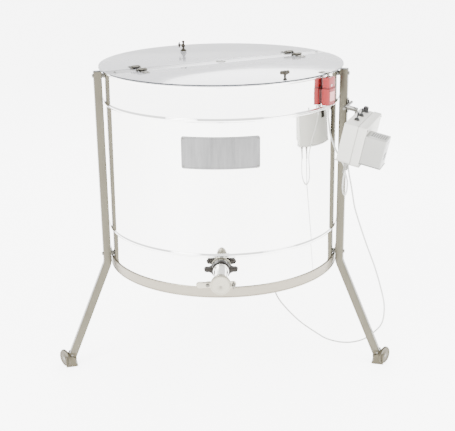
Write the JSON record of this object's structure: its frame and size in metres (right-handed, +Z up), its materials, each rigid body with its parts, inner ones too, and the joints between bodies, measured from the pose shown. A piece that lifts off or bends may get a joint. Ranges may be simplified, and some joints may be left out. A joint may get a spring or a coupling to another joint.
{
  "type": "honey extractor",
  "caption": "Radial honey extractor: a three-legged stainless drum with half lids, motor-driven comb basket, honey gate, lid interlock and side control box.",
  "frame": {"origin": "on the floor, at the centre of the overall box without the free cables; the drum axis is at y = -0.015 m", "axes": "+Z up, -Y towards the honey gate and the viewer, +X towards the control box"},
  "size_m": [1.3366, 1.31, 1.2396],
  "materials": {
    "polished_stainless_drum": "mirror-polished stainless sheet",
    "polished_stainless": "polished stainless tube",
    "satin_stainless": "satin stainless",
    "leg_stainless": "satin stainless square tube",
    "foot_casting": "cast foot, satin",
    "fastener_steel": "plain fastener and bracket steel",
    "gate_stainless": "fine-turned stainless",
    "brushed_plate": "brushed plate",
    "smoky_acrylic": "clear smoky acrylic sheet",
    "red_plastic": "red moulded plastic",
    "white_plastic": "white plastic gland",
    "light_grey_plastic": "light grey enclosure plastic",
    "grey_plastic": "grey plastic gland",
    "black_plastic": "black plastic",
    "belt_rubber": "flat rubber belt",
    "motor_paint": "grey-painted motor",
    "dark_plastic": "black terminal box",
    "dark_casting": "dark plated casting",
    "cable_sheath": "light grey sheath"
  },
  "bodies": {
    "frame": {"drum_shell": "polished_stainless_drum", "drum_floor": "satin_stainless", "base_band": "satin_stainless", "leg_left": "leg_stainless", "leg_right": "leg_stainless", "leg_rear": "leg_stainless", "leg_bolt_left_upper": "fastener_steel", "leg_bolt_left_lower": "fastener_steel", "leg_bolt_right_upper": "fastener_steel", "leg_bolt_right_lower": "fastener_steel", "leg_bolt_rear_upper": "fastener_steel", "leg_bolt_rear_lower": "fastener_steel", "foot_left": "foot_casting", "foot_right": "foot_casting", "foot_rear": "foot_casting", "crossbar": "satin_stainless", "upper_bearing": "fastener_steel", "lower_bearing": "fastener_steel", "motor_beam": "satin_stainless", "motor": "motor_paint", "motor_terminal_box": "dark_plastic", "drive_belt": "belt_rubber", "outlet_pipe": "polished_stainless", "gate_body": "gate_stainless", "gate_pivot_bolt": "fastener_steel", "name_plate": "brushed_plate", "interlock_switch": "red_plastic", "switch_gland": "white_plastic", "box_bracket": "fastener_steel", "box_base": "light_grey_plastic", "box_cover": "light_grey_plastic", "speed_controller": "light_grey_plastic", "switch_cable_gland": "grey_plastic", "motor_cable_gland": "grey_plastic", "switch_cable": "cable_sheath", "motor_cable": "cable_sheath"},
    "front_lid": {"lid_front": "smoky_acrylic", "hinge_front_left": "fastener_steel", "hinge_front_right": "fastener_steel", "interlock_key": "fastener_steel"},
    "rear_lid": {"lid_rear": "smoky_acrylic", "hinge_rear_left": "fastener_steel", "hinge_rear_right": "fastener_steel", "lid_post_rear": "dark_casting"},
    "front_knob": {"lid_knob_front": "dark_casting"},
    "cross_knob": {"lid_cross_knob": "dark_casting"},
    "rotor": {"rotor_shaft": "satin_stainless", "basket_lower_wheel": "satin_stainless", "basket_upper_wheel": "satin_stainless", "basket_post_1": "satin_stainless", "basket_post_2": "satin_stainless", "basket_post_3": "satin_stainless", "rotor_pulley": "fastener_steel"},
    "motor_rotor": {"motor_pulley": "fastener_steel"},
    "flap": {"gate_flap": "gate_stainless"},
    "clamp_screw": {"gate_clamp_screw": "fastener_steel"},
    "nut": {"union_nut": "dark_casting"},
    "run_toggle": {"run_switch": "black_plastic"},
    "direction_toggle": {"direction_switch": "black_plastic"},
    "knob": {"speed_knob": "black_plastic"}
  },
  "joints": [
    {"name": "front_lid_hinge", "type": "hinge", "parent": "frame", "child": "front_lid", "pos_m": [0.01507, -0.04346, 1.2038], "axis": [-0.8838, -0.4679, 0], "range_deg": [0, 85]},
    {"name": "rear_lid_hinge", "type": "hinge", "parent": "frame", "child": "rear_lid", "pos_m": [-0.01507, 0.01346, 1.2038], "axis": [0.8838, 0.4679, 0], "range_deg": [0, 85]},
    {"name": "front_knob_turn", "type": "hinge", "parent": "front_lid", "child": "front_knob", "pos_m": [0.22372, -0.4012, 1.2123], "axis": [0, 0, 1], "continuous": true},
    {"name": "cross_knob_turn", "type": "hinge", "parent": "rear_lid", "child": "cross_knob", "pos_m": [-0.17216, 0.25335, 1.2221], "axis": [-1, 0, 0], "continuous": true},
    {"name": "rotor_spin", "type": "hinge", "parent": "frame", "child": "rotor", "pos_m": [0, -0.015, 0.83], "axis": [0, 0, 1], "continuous": true},
    {"name": "motor_spin", "type": "hinge", "parent": "frame", "child": "motor_rotor", "pos_m": [0, 0.185, 0.447], "axis": [0, 0, 1], "continuous": true},
    {"name": "gate_flap_pivot", "type": "hinge", "parent": "frame", "child": "flap", "pos_m": [-0.048, -0.6388, 0.5385], "axis": [0, -1, 0], "range_deg": [0, 100]},
    {"name": "gate_clamp_turn", "type": "hinge", "parent": "frame", "child": "clamp_screw", "pos_m": [0.04, -0.642, 0.5385], "axis": [0, -1, 0], "range_deg": [0, 180]},
    {"name": "union_nut_turn", "type": "hinge", "parent": "frame", "child": "nut", "pos_m": [-0.004, -0.498, 0.5385], "axis": [0, -1, 0], "continuous": true},
    {"name": "run_switch_tilt", "type": "hinge", "parent": "frame", "child": "run_toggle", "pos_m": [0.48551, -0.33538, 1.05099], "axis": [0.9192, -0.3345, -0.2079], "range_deg": [-12, 12]},
    {"name": "direction_switch_tilt", "type": "hinge", "parent": "frame", "child": "direction_toggle", "pos_m": [0.50946, -0.2696, 1.05099], "axis": [0.9192, -0.3345, -0.2079], "range_deg": [-12, 12]},
    {"name": "speed_knob_turn", "type": "hinge", "parent": "frame", "child": "knob", "pos_m": [0.53265, -0.20355, 1.04727], "axis": [0.1954, -0.0711, 0.9781], "range_deg": [-135, 135]}
  ],
  "couplings": [
    {"joint": "motor_spin", "follows": "rotor_spin", "ratio": 3}
  ]
}
